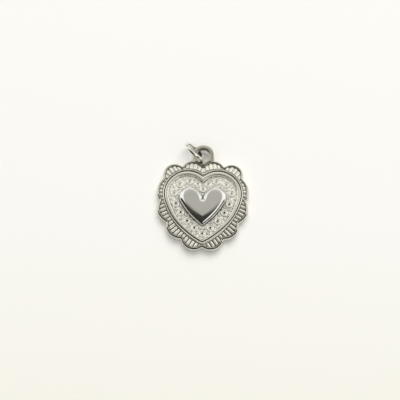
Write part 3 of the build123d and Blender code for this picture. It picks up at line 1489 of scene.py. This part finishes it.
@dataclass(frozen=True)
class Surround:
    """White walls, a grey ceiling panel and a dim front, which the silver mirrors.

    Most limits are pairs between which something fades, along x, y or the height of a direction,
    or for the ceiling's panel along x or y over the height.
    """

    horizon: float = 0.02
    panel_sides: tuple = (0.38, 0.5)
    panel_end: tuple = (3.4, 4.0)
    panel_near: tuple = (0.0, 0.21)
    panel_far: tuple = (0.36, 0.8)
    front_top: tuple = (-0.1, 0.35, 0.93, 0.5)
    front_blur: float = 0.08
    front_shift: tuple = (-0.32, -0.06, 0.14, 0)
    front_edge: tuple = (-0.16, -0.02)
    low_back: tuple = (0.5, 0.7)
    low_back_top: tuple = (0.45, 0.7)
    white: tuple = (1.0, 0.997, 0.985)
    back_grey: tuple = (0.42, 0.414, 0.38)
    panel_grey: tuple = (0.45, 0.442, 0.4)
    panel_dark: tuple = (0.045, 0.042, 0.035)
    panel_pale: tuple = (0.95, 0.95, 0.94)
    front_dark: tuple = (0.03, 0.028, 0.024)
    light: tuple = (0.56, 0.557, 0.54)
    backdrop: tuple = (1, 1, 1)

    def build(self) -> None:
        """Makes the world the surround."""
        world = bpy.data.worlds.new("surround")
        bpy.context.scene.world = world
        world.use_nodes = True
        wiring = Wiring(world.node_tree)
        risen, mixed, worked = wiring.risen, wiring.mixed, wiring.worked
        direction = wiring.add("TexCoord", {})["Generated"]
        along_x, along_y, height = wiring.add("SeparateXYZ", {0: direction})
        rise = worked("MAXIMUM", height, self.horizon)
        across = worked("ABSOLUTE", worked("DIVIDE", along_x, rise))
        back = worked("DIVIDE", along_y, rise)
        sides, end = risen(across, *self.panel_sides, 1, 0), risen(back, *self.panel_end, 1, 0)
        over_top = worked("SUBTRACT", height, risen(along_x, *self.front_top))
        below = risen(over_top, -self.front_blur, self.front_blur, 1, 0)
        behind = worked("SUBTRACT", along_y, risen(along_x, *self.front_shift))
        front = worked("MULTIPLY", risen(behind, *self.front_edge, 1, 0), below)
        near = mixed(risen(back, *self.panel_near, 1, 0), self.panel_grey, self.panel_dark)
        ceiling = mixed(risen(back, *self.panel_far), near, self.panel_pale)
        low = risen(height, *self.low_back_top, 1, 0)
        low_back = worked("MULTIPLY", risen(along_y, *self.low_back), low)
        white = mixed(low_back, self.white, self.back_grey)
        walls = mixed(worked("MULTIPLY", sides, end), white, ceiling)
        path = wiring.add("LightPath", {})
        lit = mixed(path["Is Glossy Ray"], self.light, mixed(front, walls, self.front_dark))
        seen = mixed(path["Is Camera Ray"], lit, self.backdrop)
        wiring.fill(world.node_tree.nodes["Background"], {"Color": seen})


@dataclass
class Studio:
    """A pale floor, a soft surround, a lamp and the camera at the photograph's angle.

    The floor, the lamp and the camera's nearest sight are in metres.
    """

    tilt: float = 15.5
    roll: float = 0.9
    frame_width: float = 83.333
    centre_right: float = -0.5625
    centre_up: float = 0.958
    distance: float = 600.0
    sensor: float = 36.0
    nearest: float = 0.01
    floor_steps: int = 8
    floor_size: float = 3
    floor_drift: tuple = (-0.042, 0.005)
    floor_near: tuple = (0.94, 0.932, 0.872)
    floor_far: tuple = (0.95, 0.947, 0.925)
    floor_rough: float = 0.6
    floor_gloss: float = 0.2
    lamp_place: tuple = (0.15, 0.8, 1.05)
    lamp_size: float = 1.1
    lamp_power: float = 11.7
    lamp_colour: tuple = (1, 0.985, 0.96)

    def floor(self) -> None:
        """A wide pale floor that keeps the charm's shadow, with painted shade towards the front."""
        clear_selection()
        bpy.ops.mesh.primitive_grid_add(
            x_subdivisions=self.floor_steps, y_subdivisions=self.floor_steps, size=self.floor_size
        )
        floor = bpy.context.object
        floor.name = "floor"
        paper = bpy.data.materials.new("pale floor")
        paper.use_nodes = True
        wiring = Wiring(paper.node_tree)
        away = wiring.add("SeparateXYZ", {0: wiring.place()})["Y"]
        # Painted shade: the floor turns darker and warmer towards the front.
        painted_falloff = wiring.mixed(wiring.risen(away, *self.floor_drift), self.floor_near, self.floor_far)
        surface = {"Base Color": painted_falloff, "Roughness": self.floor_rough}
        surface["Specular IOR Level"] = self.floor_gloss
        wiring.fill(paper.node_tree.nodes["Principled BSDF"], surface)
        floor.data.materials.append(paper)

    def lamp(self) -> None:
        """One broad soft lamp above and behind the ear."""
        bpy.ops.object.light_add(type="AREA", location=self.lamp_place)
        lamp = bpy.context.object
        lamp.data.shape = "DISK"
        lamp.data.size = self.lamp_size
        lamp.data.energy = self.lamp_power
        lamp.data.color = self.lamp_colour
        lamp.rotation_euler = (-lamp.location).to_track_quat("-Z", "Y").to_euler()
        lamp.visible_glossy = False

    def camera(self) -> None:
        """The camera, nearly overhead, as the photograph was taken."""
        tilt, roll = math.radians(self.tilt), math.radians(self.roll)
        right = Vector((math.cos(roll), math.sin(roll), 0))
        level_up = math.cos(tilt)
        up = Vector((-math.sin(roll) * level_up, math.cos(roll) * level_up, math.sin(tilt)))
        back = right.cross(up)
        aim = (right * self.centre_right + up * self.centre_up) * MM
        bpy.ops.object.camera_add()
        camera = bpy.context.object
        turn = Matrix((right, up, back)).transposed().to_4x4()
        camera.matrix_world = Matrix.Translation(aim + back * self.distance * MM) @ turn
        camera.data.sensor_width = self.sensor
        camera.data.lens = self.sensor * self.distance / self.frame_width
        camera.data.clip_start = self.nearest
        bpy.context.scene.camera = camera

    def build(self) -> None:
        """Sets the whole studio."""
        self.floor()
        Surround().build()
        self.lamp()
        self.camera()
        bpy.context.scene.view_settings.view_transform = "Standard"


def main() -> None:
    """Builds each sub-assembly in order, then the studio."""
    logging.basicConfig(level=logging.INFO, format="%(message)s")
    workshop = Workshop()
    medal = (MedalBody(), FlutedBorder(), HeartFrame(), FieldOrnament())
    for assembly in medal + (PuffedHeart(), HangingEar(), JumpRing()):
        assembly.build(workshop)
        log.info("%s built", type(assembly).__name__)
    Studio().build()


if __name__ == "__main__":
    main()
